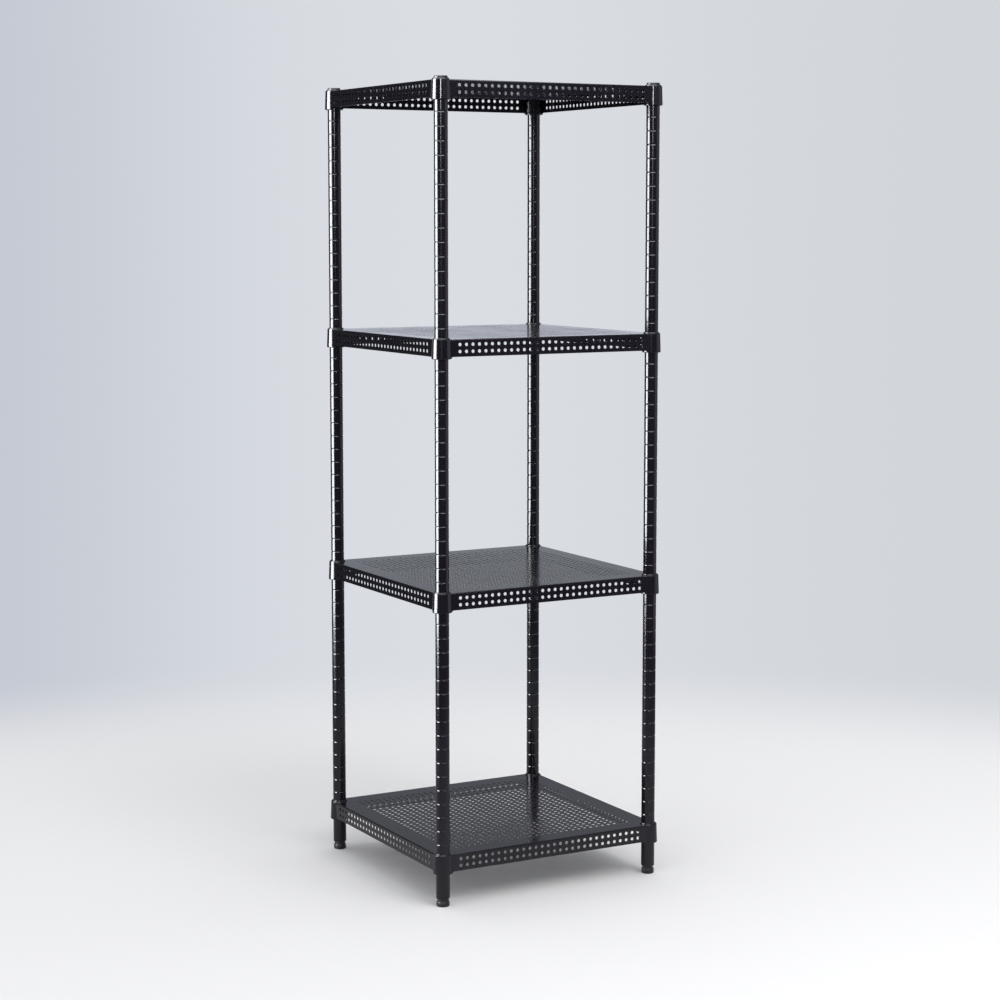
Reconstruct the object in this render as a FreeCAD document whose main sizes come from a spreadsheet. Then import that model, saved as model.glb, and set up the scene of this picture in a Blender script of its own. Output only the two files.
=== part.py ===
import FreeCAD, Part
import math
import os

import Sketcher
from FreeCAD import Placement, Rotation, Vector

# Free-standing four-tier shelving: round grooved posts, split wedge sleeves that clip into the
# grooves, and folded perforated shelf pans whose welded corner collars wedge onto the sleeves.
# Frame: +Z up, front at -Y, origin on the floor at the middle of the plan. Millimetres.

CORNERS = {
    "front_left": (-1, -1),
    "front_right": (1, -1),
    "back_right": (1, 1),
    "back_left": (-1, 1),
}
LEVELS = ("bottom", "lower", "upper", "top")

DIMENSIONS = (
    # alias, value, meaning
    ("post_spacing", 444.0, "distance between post centres along X and along Y"),
    ("post_diameter", 25.4, "outside diameter of a post"),
    ("post_wall", 1.2, "wall of the post tube"),
    ("post_bottom", 15.0, "height of the lower end of a post above the floor"),
    ("post_top", 1496.5, "height of the upper end of a post above the floor"),
    ("post_chamfer", 0.8, "chamfer on the outer edge of each post end"),
    ("groove_first", 66.0, "height of the lowest groove above the floor"),
    ("groove_pitch", 25.4, "distance from one groove to the next"),
    ("groove_count", 57, "number of grooves on a post"),
    ("groove_depth", 0.6, "depth of a groove"),
    ("groove_radius", 1.3, "radius of the round tool that rolls a groove"),
    ("groove_bottom", 1, "groove number, from 0, that holds the bottom shelf"),
    ("groove_lower", 20, "groove number that holds the lower shelf"),
    ("groove_upper", 38, "groove number that holds the upper shelf"),
    ("groove_top", 56, "groove number that holds the top shelf"),
    ("collar_above_groove", 5.8, "height of a collar's top above the groove that holds it"),
    ("collar_length", 36.0, "height of a corner collar"),
    ("collar_radius_top", 16.7, "outside radius of a collar at its top"),
    ("collar_radius_bottom", 18.0, "outside radius of a collar at its bottom"),
    ("collar_wall", 1.6, "wall of a collar"),
    ("collar_round_top", 0.7, "rounding of a collar's top edges"),
    ("collar_round_bottom", 1.5, "rounding of a collar's lower outer edge"),
    ("sleeve_gap", 0.3, "radial gap between a sleeve and its collar"),
    ("sleeve_clearance", 0.05, "radial clearance between a sleeve and its post"),
    ("sleeve_above_collar", 2.0, "height of a sleeve's top above the collar's top"),
    ("sleeve_foot", 0.5, "height of a sleeve's lower end above the collar's lower end"),
    ("sleeve_chamfer", 0.8, "chamfer on the top outer edge of a sleeve"),
    ("sleeve_split_angle", 178.0, "angle that one half of a split sleeve spans, in degrees"),
    ("rib_height", 0.45, "height of the rib that clips into a groove"),
    ("rib_root", 1.7, "width of the rib where it leaves the sleeve"),
    ("rib_tip", 0.7, "width of the rib at its tip"),
    ("sheet_thickness", 0.8, "thickness of the shelf's steel sheet"),
    ("deck_below_collar", 0.4, "height of a collar's top above the deck"),
    ("rail_offset", 13.2, "distance of a rail's outer face outside the post centres"),
    ("rail_height", 31.5, "height of a rail from the deck to its lower edge"),
    ("bend_radius", 2.0, "outer radius of the fold between deck and rail"),
    ("tab_drop", 3.2, "depth that a rail's end tab reaches below its lower edge"),
    ("tab_reach", 13.5, "distance of a tab's inner end from the post centre, along the rail"),
    ("hole_diameter", 6.0, "diameter of a perforation"),
    ("hole_pitch", 13.2, "distance between perforations along a rail and over the deck"),
    ("hole_count", 30, "number of perforations along one side"),
    ("hole_row_first", 9.5, "depth of the rail's upper row of holes below the deck"),
    ("hole_row_spacing", 12.5, "distance between the rail's two rows of holes"),
    ("cap_top", 1500.0, "height of the top of a post cap above the floor"),
    ("cap_radius", 12.4, "radius of a cap's head"),
    ("cap_round", 1.4, "rounding of a cap's top edge"),
    ("cap_plug_length", 14.0, "length of the plug inside the post"),
    ("plug_clearance", 0.1, "radial clearance between a plug and the post's bore"),
    ("insert_length", 22.0, "length of the threaded insert in a post's lower end"),
    ("pad_radius", 12.0, "radius of a levelling foot's pad"),
    ("pad_height", 9.0, "height of the pad below its neck"),
    ("pad_round", 2.0, "rounding of the pad's lower edge"),
    ("pad_chamfer", 1.0, "chamfer on the pad's upper edge"),
    ("neck_radius", 10.6, "radius of the neck that stops against the post"),
    ("stud_radius", 4.0, "radius of a levelling foot's stud"),
    ("stud_bottom", 5.0, "height of the stud's lower end above the floor"),
    ("stud_top", 44.0, "height of the stud's upper end above the floor"),
    ("stud_chamfer", 1.0, "chamfer on the stud's upper end"),
    ("stud_clearance", 0.05, "radial clearance around the stud"),
)

MATCH = 0.01  # two lengths closer than this are the same

doc = FreeCAD.newDocument("shelving")
sheet = doc.addObject("Spreadsheet::Sheet", "Dimensions")


class Size:
    """A length that carries both its number and the spreadsheet expression that gives it."""

    def __init__(self, value, text):
        self.value = float(value)
        self.text = text

    def __add__(self, other):
        other = as_size(other)
        return Size(self.value + other.value, f"({self.text} + {other.text})")

    def __sub__(self, other):
        other = as_size(other)
        return Size(self.value - other.value, f"({self.text} - {other.text})")

    def __mul__(self, other):
        other = as_size(other)
        return Size(self.value * other.value, f"({self.text} * {other.text})")

    def __truediv__(self, other):
        other = as_size(other)
        return Size(self.value / other.value, f"({self.text} / {other.text})")


def as_size(value):
    return value if isinstance(value, Size) else Size(value, repr(float(value)))


class Sizes:
    """The spreadsheet's cells by name: sizes.post_wall is the cell with the alias post_wall."""

    def __getattr__(self, alias):
        return Size(sheet.get(alias), f"Dimensions.{alias}")


def fill_sheet():
    for row, (alias, value, meaning) in enumerate(DIMENSIONS, 1):
        sheet.set(f"A{row}", meaning)
        sheet.set(f"B{row}", str(value))
        sheet.setAlias(f"B{row}", alias)
    doc.recompute()


fill_sheet()
sizes = Sizes()
ZERO = as_size(0)
POST_RADIUS = sizes.post_diameter / 2
BORE_RADIUS = POST_RADIUS - sizes.post_wall


def along_collar(top, bottom, height):
    """The radius, at a height above the collar's lower end, of a cone that runs along the collar."""
    return bottom - (bottom - top) * height / sizes.collar_length


# ---- turned pieces ---------------------------------------------------------------------------


def origin_feature(body, role):
    return next(f for f in body.Origin.OriginFeatures if f.Role == role)


def outline_sketch(body, name, outline):
    """A closed outline on the body's XZ plane, each corner tied to the sheet: (radius, height)."""
    sketch = body.newObject("Sketcher::SketchObject", name)
    sketch.AttachmentSupport = [(origin_feature(body, "XZ_Plane"), "")]
    sketch.MapMode = "FlatFace"
    corners = [Vector(radius.value, height.value, 0) for radius, height in outline]
    count = len(corners)
    for i in range(count):
        sketch.addGeometry(Part.LineSegment(corners[i], corners[(i + 1) % count]))
    for i in range(count):
        sketch.addConstraint(Sketcher.Constraint("Coincident", i, 2, (i + 1) % count, 1))
    for i, (radius, height) in enumerate(outline):
        tie_point(sketch, i, 1, "DistanceX", f"radius{i}", radius, -2)
        tie_point(sketch, i, 1, "DistanceY", f"height{i}", height, -1)
    return sketch


def tie_point(sketch, geometry, position, kind, name, size, axis):
    """Hold one coordinate of a point: on the axis when it is 0, else at the sheet's distance."""
    if size.value == 0:
        sketch.addConstraint(Sketcher.Constraint("PointOnObject", geometry, position, axis))
        return
    number = sketch.addConstraint(Sketcher.Constraint(kind, -1, 1, geometry, position, size.value))
    sketch.renameConstraint(number, name)
    sketch.setExpression(f"Constraints.{name}", size.text)


def turned_body(name, outline, angle=None):
    """A body turned from an outline about its own Z axis, whole or through an angle."""
    body = doc.addObject("PartDesign::Body", name)
    sketch = outline_sketch(body, f"{name}_outline", outline)
    turned = body.newObject("PartDesign::Revolution", f"{name}_turned")
    turned.Profile = sketch
    turned.ReferenceAxis = (sketch, ["V_Axis"])
    if angle is not None:
        turned.setExpression("Angle", angle.text)
    body.Tip = turned
    return body


def round_rings(body, radius, rings):
    """Round the circular edges that lie at the given (radius, height) rings of a turned body."""
    doc.recompute()
    base = body.Tip
    names = []
    for number, edge in enumerate(base.Shape.Edges, 1):
        if not isinstance(edge.Curve, Part.Circle):
            continue
        for ring_radius, ring_height in rings:
            same_radius = abs(edge.Curve.Radius - ring_radius.value) < MATCH
            same_height = abs(edge.Curve.Center.z - ring_height.value) < MATCH
            if same_radius and same_height:
                names.append(f"Edge{number}")
    assert len(names) == len(rings), f"{body.Name}: {len(names)} edges found for {len(rings)} rings"
    fillet = body.newObject("PartDesign::Fillet", f"{body.Name}_round_{len(body.Group)}")
    fillet.Base = (base, names)
    fillet.setExpression("Radius", radius.text)
    body.Tip = fillet


def stand_at_corner(piece, corner, height=ZERO, turn=0.0):
    """Place a piece on a post's axis at a height, turned about that axis, tied to the sheet."""
    side_x, side_y = CORNERS[corner]
    half = sizes.post_spacing / 2
    base = Vector(side_x * half.value, side_y * half.value, height.value)
    piece.Placement = Placement(base, Rotation(Vector(0, 0, 1), turn))
    piece.setExpression("Placement.Base.x", (half * side_x).text)
    piece.setExpression("Placement.Base.y", (half * side_y).text)
    piece.setExpression("Placement.Base.z", height.text)


# ---- post, cap and levelling foot ------------------------------------------------------------


def make_post(corner):
    """A steel tube with ring grooves rolled in at an even pitch."""
    name = f"post_{corner}"
    low, high = sizes.post_bottom, sizes.post_top
    chamfer = sizes.post_chamfer
    outline = (
        (BORE_RADIUS, low),
        (POST_RADIUS - chamfer, low),
        (POST_RADIUS, low + chamfer),
        (POST_RADIUS, high - chamfer),
        (POST_RADIUS - chamfer, high),
        (BORE_RADIUS, high),
    )
    body = turned_body(name, outline)
    tube = body.Tip

    sketch = body.newObject("Sketcher::SketchObject", f"{name}_rollers")
    sketch.AttachmentSupport = [(origin_feature(body, "XZ_Plane"), "")]
    sketch.MapMode = "FlatFace"
    across = POST_RADIUS - sizes.groove_depth + sizes.groove_radius
    count = int(sizes.groove_count.value)
    for i in range(count):
        up = sizes.groove_first + sizes.groove_pitch * i
        middle = Vector(across.value, up.value, 0)
        sketch.addGeometry(Part.Circle(middle, Vector(0, 0, 1), sizes.groove_radius.value))
        tie_point(sketch, i, 3, "DistanceX", f"roller_across_{i}", across, -2)
        tie_point(sketch, i, 3, "DistanceY", f"roller_up_{i}", up, -1)
        radius = sketch.addConstraint(Sketcher.Constraint("Radius", i, sizes.groove_radius.value))
        sketch.renameConstraint(radius, f"roller_radius_{i}")
        sketch.setExpression(f"Constraints.roller_radius_{i}", sizes.groove_radius.text)

    grooves = body.newObject("PartDesign::Groove", f"{name}_grooves")
    grooves.Profile = sketch
    grooves.ReferenceAxis = (sketch, ["V_Axis"])
    body.Tip = grooves
    doc.recompute()
    cut = tube.Shape.Volume - grooves.Shape.Volume
    depth = sizes.groove_depth.value
    triangle = depth * math.sqrt(2 * sizes.groove_radius.value * depth - depth**2)
    least = triangle * 2 * math.pi * (POST_RADIUS.value - depth) * count
    assert cut > least, f"{name}: some grooves cut nothing"
    stand_at_corner(body, corner)
    return body


def make_cap(corner):
    """A plastic cap: a head on the post's end and a plug inside its bore."""
    plug_radius = BORE_RADIUS - sizes.plug_clearance
    plug_low = sizes.post_top - sizes.cap_plug_length
    outline = (
        (ZERO, plug_low),
        (plug_radius - 1, plug_low),
        (plug_radius, plug_low + 1),
        (plug_radius, sizes.post_top),
        (sizes.cap_radius, sizes.post_top),
        (sizes.cap_radius, sizes.cap_top),
        (ZERO, sizes.cap_top),
    )
    body = turned_body(f"post_cap_{corner}", outline)
    round_rings(body, sizes.cap_round, [(sizes.cap_radius, sizes.cap_top)])
    stand_at_corner(body, corner)
    return body


def make_insert(corner):
    """A steel bush pressed into the post's lower end, bored for the foot's stud."""
    outer = BORE_RADIUS - sizes.stud_clearance
    inner = sizes.stud_radius + sizes.stud_clearance
    low = sizes.post_bottom
    high = low + sizes.insert_length
    outline = ((inner, low), (outer, low), (outer, high - 1), (outer - 1, high), (inner, high))
    body = turned_body(f"foot_insert_{corner}", outline)
    stand_at_corner(body, corner)
    return body


def make_stud(corner):
    """The threaded stud of a levelling foot, moulded into the pad."""
    radius, chamfer = sizes.stud_radius, sizes.stud_chamfer
    outline = (
        (ZERO, sizes.stud_bottom),
        (radius, sizes.stud_bottom),
        (radius, sizes.stud_top - chamfer),
        (radius - chamfer, sizes.stud_top),
        (ZERO, sizes.stud_top),
    )
    body = turned_body(f"foot_stud_{corner}", outline)
    stand_at_corner(body, corner)
    return body


def make_pad(corner):
    """The plastic pad of a levelling foot, with a narrower neck that stops against the post."""
    pocket = sizes.stud_radius + sizes.stud_clearance
    outline = (
        (ZERO, ZERO),
        (sizes.pad_radius, ZERO),
        (sizes.pad_radius, sizes.pad_height - sizes.pad_chamfer),
        (sizes.pad_radius - sizes.pad_chamfer, sizes.pad_height),
        (sizes.neck_radius, sizes.pad_height),
        (sizes.neck_radius, sizes.post_bottom),
        (pocket, sizes.post_bottom),
        (pocket, sizes.stud_bottom),
        (ZERO, sizes.stud_bottom),
    )
    body = turned_body(f"foot_pad_{corner}", outline)
    round_rings(body, sizes.pad_round, [(sizes.pad_radius, ZERO)])
    stand_at_corner(body, corner)
    return body


# ---- collar and sleeve -----------------------------------------------------------------------


def groove_height(level):
    return sizes.groove_first + sizes.groove_pitch * getattr(sizes, f"groove_{level}")


def collar_bottom(level):
    return groove_height(level) + sizes.collar_above_groove - sizes.collar_length


def make_collar(level, corner):
    """A tapered steel collar, wider at its bottom, that wedges down over the sleeve."""
    wall, length = sizes.collar_wall, sizes.collar_length
    top, bottom = sizes.collar_radius_top, sizes.collar_radius_bottom
    outline = ((bottom - wall, ZERO), (bottom, ZERO), (top, length), (top - wall, length))
    body = turned_body(f"shelf_{level}_collar_{corner}", outline)
    round_rings(body, sizes.collar_round_top, [(top, length), (top - wall, length)])
    round_rings(body, sizes.collar_round_bottom, [(bottom, ZERO)])
    stand_at_corner(body, corner, collar_bottom(level))
    return body


def sleeve_outline():
    """Half section of a sleeve: a tapered outside, and ribs inside that clip into two grooves."""
    inner = POST_RADIUS + sizes.sleeve_clearance
    top, bottom = (
        radius - sizes.collar_wall - sizes.sleeve_gap
        for radius in (sizes.collar_radius_top, sizes.collar_radius_bottom)
    )
    foot = sizes.sleeve_foot
    head = sizes.collar_length + sizes.sleeve_above_collar
    shoulder = head - sizes.sleeve_chamfer
    outline = [
        (inner, foot),
        (along_collar(top, bottom, foot), foot),
        (along_collar(top, bottom, shoulder), shoulder),
        (along_collar(top, bottom, shoulder) - sizes.sleeve_chamfer, head),
        (inner, head),
    ]
    upper_groove = sizes.collar_length - sizes.collar_above_groove
    for middle in (upper_groove, upper_groove - sizes.groove_pitch):
        outline += [
            (inner, middle + sizes.rib_root / 2),
            (inner - sizes.rib_height, middle + sizes.rib_tip / 2),
            (inner - sizes.rib_height, middle - sizes.rib_tip / 2),
            (inner, middle - sizes.rib_root / 2),
        ]
    return outline


def make_sleeve(level, corner):
    """A plastic sleeve split into two half shells that face each other across the post."""
    name = f"sleeve_{level}_{corner}"
    side_x, side_y = CORNERS[corner]
    outward = math.degrees(math.atan2(side_y, side_x))
    halves = []
    for side, turn in (("outer", outward), ("inner", outward + 180)):
        half = turned_body(f"{name}_{side}", sleeve_outline(), sizes.sleeve_split_angle)
        half.Tip.Midplane = True
        stand_at_corner(half, corner, collar_bottom(level), turn)
        halves.append(half)
    pair = doc.addObject("Part::Compound", name)
    pair.Links = halves
    return pair


# ---- shelf pan -------------------------------------------------------------------------------


def hole_positions():
    count = int(sizes.hole_count.value)
    pitch = sizes.hole_pitch.value
    return [(i - (count - 1) / 2) * pitch for i in range(count)]


def perforated(outline, centres, normal):
    """A flat face with a round hole at each centre."""
    radius = sizes.hole_diameter.value / 2
    holes = [Part.Wire(Part.makeCircle(radius, centre, normal)) for centre in centres]
    return Part.makeFace([outline] + holes, "Part::FaceMakerBullseye")


def deck_plate():
    """The flat deck between the four folds, its top face at height 0."""
    edge = sizes.post_spacing.value / 2 + sizes.rail_offset.value - sizes.bend_radius.value
    corners = [Vector(x * edge, y * edge, 0) for x, y in CORNERS.values()]
    outline = Part.makePolygon(corners + corners[:1])
    centres = [Vector(x, y, 0) for x in hole_positions() for y in hole_positions()]
    face = perforated(outline, centres, Vector(0, 0, 1))
    return face.extrude(Vector(0, 0, -sizes.sheet_thickness.value))


def rail_outline(y):
    """The front rail's outer face below the fold, with a tab at each end that hugs the collar."""
    half = sizes.post_spacing.value / 2
    high = -sizes.bend_radius.value
    low = -sizes.rail_height.value
    drop = sizes.tab_drop.value
    tab = half - sizes.tab_reach.value
    slope = drop * (1 - math.sqrt(0.5))

    def point(x, z):
        return Vector(x, y, z)

    left = Part.Arc(point(-tab, low - drop), point(slope - tab, low - slope), point(drop - tab, low))
    right = Part.Arc(point(tab - drop, low), point(tab - slope, low - slope), point(tab, low - drop))
    straight = (
        (point(tab, low - drop), point(half, low - drop)),
        (point(half, low - drop), point(half, high)),
        (point(half, high), point(-half, high)),
        (point(-half, high), point(-half, low - drop)),
        (point(-half, low - drop), point(-tab, low - drop)),
        (point(drop - tab, low), point(tab - drop, low)),
    )
    edges = [Part.LineSegment(start, end).toShape() for start, end in straight]
    edges += [left.toShape(), right.toShape()]
    return Part.Wire(Part.__sortEdges__(edges))


def front_rail():
    """The folded front edge of the pan: a quarter bend and the perforated rail below it."""
    half = sizes.post_spacing.value / 2
    outer = half + sizes.rail_offset.value
    bend = sizes.bend_radius.value
    sheet_thickness = sizes.sheet_thickness.value
    first = -sizes.hole_row_first.value
    rows = (first, first - sizes.hole_row_spacing.value)
    centres = [Vector(x, -outer, z) for x in hole_positions() for z in rows]
    face = perforated(rail_outline(-outer), centres, Vector(0, -1, 0))
    plate = face.extrude(Vector(0, sheet_thickness, 0))

    axis = Vector(-half, bend - outer, -bend)
    ring = Part.makeCylinder(bend, 2 * half, axis, Vector(1, 0, 0))
    ring = ring.cut(Part.makeCylinder(bend - sheet_thickness, 2 * half, axis, Vector(1, 0, 0)))
    quadrant = Part.makeBox(2 * half, bend, bend, Vector(-half, -outer, -bend))
    return plate.fuse(ring.common(quadrant)).removeSplitter()


def collar_cores():
    """The four full cones that the collars' outer faces bound, with the deck's top at height 0."""
    height = sizes.deck_below_collar.value
    length = sizes.collar_length.value
    half = sizes.post_spacing.value / 2
    cores = []
    for side_x, side_y in CORNERS.values():
        base = Vector(side_x * half, side_y * half, height - length)
        radii = (sizes.collar_radius_bottom.value, sizes.collar_radius_top.value)
        cores.append(Part.makeCone(*radii, length, base))
    return Part.makeCompound(cores)


def pan_shape():
    """Deck and four folded rails, cut back to the faces of the collars they are welded to."""
    cores = collar_cores()
    rail = front_rail().cut(cores).Solids[0]
    rails = []
    for turn in (0, 90, 180, 270):
        side = rail.copy()
        side.rotate(Vector(0, 0, 0), Vector(0, 0, 1), turn)
        rails.append(side)
    return Part.makeCompound([deck_plate().cut(cores).Solids[0]] + rails)


def make_pan(level, shape):
    """A shelf pan at its level, with the deck's top just below the collars' tops."""
    pan = doc.addObject("Part::Feature", f"shelf_{level}_pan")
    pan.Shape = shape
    deck = collar_bottom(level) + sizes.collar_length - sizes.deck_below_collar
    pan.Placement = Placement(Vector(0, 0, deck.value), Rotation())
    pan.setExpression("Placement.Base.z", deck.text)
    return pan


# ---- assembly --------------------------------------------------------------------------------


def make_all():
    pieces = []
    for corner in CORNERS:
        pieces += [make_post(corner), make_cap(corner), make_insert(corner)]
        pieces += [make_stud(corner), make_pad(corner)]
    shape = pan_shape()
    for level in LEVELS:
        pieces.append(make_pan(level, shape))
        for corner in CORNERS:
            pieces += [make_collar(level, corner), make_sleeve(level, corner)]
    return pieces


def check(pieces):
    """Stop before anything is written if an object failed or a sub-part's shape is no good."""
    failed = [o.Name for o in doc.Objects if "Invalid" in o.State or "Error" in o.State]
    assert not failed, f"failed objects: {failed}"
    for piece in pieces:
        shape = piece.Shape
        assert not shape.isNull() and shape.isValid(), f"{piece.Name} has no valid shape"
        assert shape.Solids and all(s.Volume > 0 for s in shape.Solids), f"{piece.Name} has no solid"


def write(pieces):
    os.makedirs("parts", exist_ok=True)
    for piece in pieces:
        piece.Label = piece.Name
        piece.Shape.exportStep(f"parts/{piece.Label}.step")


pieces = make_all()
doc.recompute()
check(pieces)
write(pieces)
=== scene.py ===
import math

import bpy
import numpy as np
from mathutils import Matrix, Vector
from mathutils.geometry import delaunay_2d_cdt


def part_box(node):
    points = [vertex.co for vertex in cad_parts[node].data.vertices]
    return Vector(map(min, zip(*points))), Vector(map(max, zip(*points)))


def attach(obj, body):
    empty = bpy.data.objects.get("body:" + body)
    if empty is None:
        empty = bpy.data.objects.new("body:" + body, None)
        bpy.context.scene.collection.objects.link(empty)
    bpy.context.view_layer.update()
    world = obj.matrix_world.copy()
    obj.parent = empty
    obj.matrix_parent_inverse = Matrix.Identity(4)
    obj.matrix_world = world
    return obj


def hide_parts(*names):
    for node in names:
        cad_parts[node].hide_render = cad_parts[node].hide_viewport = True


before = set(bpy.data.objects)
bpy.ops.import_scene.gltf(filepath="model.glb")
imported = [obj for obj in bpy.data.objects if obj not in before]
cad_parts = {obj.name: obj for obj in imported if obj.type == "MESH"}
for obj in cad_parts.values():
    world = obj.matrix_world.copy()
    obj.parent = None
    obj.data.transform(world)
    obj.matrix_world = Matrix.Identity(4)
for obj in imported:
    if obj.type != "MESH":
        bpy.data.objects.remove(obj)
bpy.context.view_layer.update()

# Four-tier shelving. Everything is in metres in the row frame: +Z up, front at -Y, floor at z = 0.
# Every piece is remodelled finely here and stands for its CAD node. Places come from the frame.

MM = 0.001
TOUCHING = 1e-9  # two places closer than this are the same
CORNERS = ("front_left", "front_right", "back_right", "back_left")
LEVELS = ("bottom", "lower", "upper", "top")


# ---- places and sizes read from the frame ------------------------------------------------------


def centre_of(node):
    low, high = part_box(node)
    return (low + high) / 2


def axis_of(corner):
    """The point on the floor under a post's axis."""
    middle = centre_of(f"post_{corner}")
    return Vector((middle.x, middle.y, 0))


def radius_of(node):
    low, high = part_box(node)
    return (high.x - low.x) / 2


# ---- mesh building -----------------------------------------------------------------------------


SHARP_ANGLE = math.radians(38)


def mesh_from(name, points, faces, flat=None):
    """A mesh from points and faces: smooth unless a face is marked flat, sharp at real edges."""
    mesh = bpy.data.meshes.new(name)
    mesh.from_pydata([tuple(p) for p in points], [], [tuple(f) for f in faces])
    smooth = np.ones(len(mesh.polygons), bool)
    if flat is not None:
        smooth[np.asarray(flat, bool)] = False
    mesh.polygons.foreach_set("use_smooth", smooth)
    mesh.set_sharp_from_angle(angle=SHARP_ANGLE)
    mesh.validate()
    return mesh


def banded(outline, closed=True):
    """The outline with a narrow band at both ends of each long run, which keeps its shading even."""
    band, result = 0.25 * MM, []
    following = outline[1:] + (outline[:1] if closed else [])
    for (radius, height), (next_radius, next_height) in zip(outline, following):
        result.append((radius, height))
        length = math.hypot(next_radius - radius, next_height - height)
        if length > 6 * band:
            for share in (band / length, 1 - band / length):
                result.append((
                    radius + (next_radius - radius) * share,
                    height + (next_height - height) * share,
                ))
    return result if closed else result + outline[-1:]


def lathe(name, outline, count=96, closed=True):
    """A mesh turned about Z from an outline of (radius, height) points, in metres.

    The outline runs with the solid on its left. A radius of 0 closes to a single point."""
    outline = banded(outline, closed)
    points, rings = [], []
    for radius, height in outline:
        if radius < TOUCHING:
            rings.append([len(points)] * count)
            points.append((0.0, 0.0, height))
            continue
        rings.append(list(range(len(points), len(points) + count)))
        for i in range(count):
            angle = 2 * math.pi * i / count
            points.append((radius * math.cos(angle), radius * math.sin(angle), height))
    faces = []
    following = rings[1:] + (rings[:1] if closed else [])
    for lower, upper in zip(rings, following):
        for i in range(count):
            j = (i + 1) % count
            face = [lower[i], lower[j], upper[j], upper[i]]
            face = [p for k, p in enumerate(face) if p not in face[:k]]
            if len(face) > 2:
                faces.append(face)
    return mesh_from(name, points, faces)


def arc(centre_radius, centre_height, radius, start, stop, steps):
    """Outline points along an arc; angles in degrees, 0 points outward and 90 points up."""
    angles = [math.radians(start + (stop - start) * i / steps) for i in range(steps + 1)]
    return [
        (centre_radius + radius * math.cos(a), centre_height + radius * math.sin(a))
        for a in angles
    ]


def half_shell(outline, angle_span, steps=48):
    """Points and faces of a turned shape that spans some degrees about +X, with flat ends."""
    outline = banded(outline)
    count = len(outline)
    points = []
    for i in range(steps + 1):
        angle = math.radians(-angle_span / 2 + angle_span * i / steps)
        points += [(r * math.cos(angle), r * math.sin(angle), z) for r, z in outline]
    faces = []
    for i in range(steps):
        for k in range(count):
            n = (k + 1) % count
            faces.append((i * count + k, (i + 1) * count + k, (i + 1) * count + n, i * count + n))
    faces.append(tuple(range(count)))
    faces.append(tuple(steps * count + k for k in reversed(range(count))))
    return points, faces


def finished(mesh, finish):
    mesh.materials.append(finish)
    return mesh


pieces = {}


def piece(name, mesh, body, nodes, place=(0, 0, 0)):
    """Show a mesh for some CAD nodes, riding on their body."""
    shown = bpy.data.objects.new(name, mesh)
    bpy.context.scene.collection.objects.link(shown)
    shown.location = place
    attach(shown, body)
    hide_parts(*nodes)
    pieces[name] = shown
    return shown


# ---- materials ---------------------------------------------------------------------------------


class Nodes:
    """A short way to write a material's node tree.

    Noise and cell scales are features per metre, and bump distances are metres. Each object shifts
    the pattern by its own random amount, so that no two pieces look alike."""

    SHIFT = (3.1, 1.7, 2.3)
    CELL_SMOOTHNESS = 0.7

    def __init__(self, name):
        self.material = bpy.data.materials.new(name)
        self.material.use_nodes = True
        self.tree = self.material.node_tree
        self.tree.nodes.clear()
        self.output = self.add("ShaderNodeOutputMaterial")
        self.shader = self.add("ShaderNodeBsdfPrincipled")
        self.link(self.shader, "BSDF", self.output, "Surface")
        place = self.add("ShaderNodeTexCoord")
        random = self.add("ShaderNodeObjectInfo")
        shift = self.add("ShaderNodeVectorMath", operation="SCALE")
        shift.inputs[0].default_value = self.SHIFT
        self.link(random, "Random", shift, "Scale")
        self.coords = self.add("ShaderNodeVectorMath", operation="ADD")
        self.link(place, "Object", self.coords, 0)
        self.link(shift, "Vector", self.coords, 1)

    def add(self, kind, **settings):
        node = self.tree.nodes.new(kind)
        for key, value in settings.items():
            setattr(node, key, value)
        return node

    def link(self, source, out, target, socket):
        self.tree.links.new(source.outputs[out], target.inputs[socket])

    def set(self, **values):
        for socket, value in values.items():
            self.shader.inputs[socket.replace("_", " ")].default_value = value

    def noise(self, scale, detail, roughness=0.55, stretch=None):
        node = self.add("ShaderNodeTexNoise")
        node.inputs["Scale"].default_value = scale
        node.inputs["Detail"].default_value = detail
        node.inputs["Roughness"].default_value = roughness
        source = self.coords
        if stretch:
            source = self.add("ShaderNodeVectorMath", operation="MULTIPLY")
            source.inputs[1].default_value = stretch
            self.link(self.coords, "Vector", source, 0)
        self.link(source, "Vector", node, "Vector")
        return node

    def cells(self, scale):
        node = self.add("ShaderNodeTexVoronoi", feature="SMOOTH_F1")
        node.inputs["Scale"].default_value = scale
        node.inputs["Smoothness"].default_value = self.CELL_SMOOTHNESS
        self.link(self.coords, "Vector", node, "Vector")
        return node

    def span(self, source, out, low, high, start=0.25, stop=0.75):
        """Map a value from start..stop to low..high."""
        node = self.add("ShaderNodeMapRange")
        node.inputs["From Min"].default_value = start
        node.inputs["From Max"].default_value = stop
        node.inputs["To Min"].default_value = low
        node.inputs["To Max"].default_value = high
        self.link(source, out, node, "Value")
        return node

    def combine(self, first, second, operation="ADD"):
        node = self.add("ShaderNodeMath", operation=operation)
        self.link(*first, node, 0)
        self.link(*second, node, 1)
        return node

    def colours(self, factor, low, high):
        node = self.add("ShaderNodeMix", data_type="RGBA")
        node.inputs["A"].default_value = (*low, 1)
        node.inputs["B"].default_value = (*high, 1)
        self.link(*factor, node, "Factor")
        return node

    def bumps(self, layers):
        """Chain bump nodes: (source, output, strength, distance), fine layers last."""
        previous = None
        for source, out, strength, distance in layers:
            node = self.add("ShaderNodeBump")
            node.inputs["Strength"].default_value = strength
            node.inputs["Distance"].default_value = distance
            self.link(source, out, node, "Height")
            if previous:
                self.link(previous, "Normal", node, "Normal")
            previous = node
        self.link(previous, "Normal", self.shader, "Normal")


# Level faces are lightened towards this colour: partly a dusting, partly a painted sheen.
DUST_AND_SHEEN_COLOUR = (0.20, 0.20, 0.21, 1)


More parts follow.
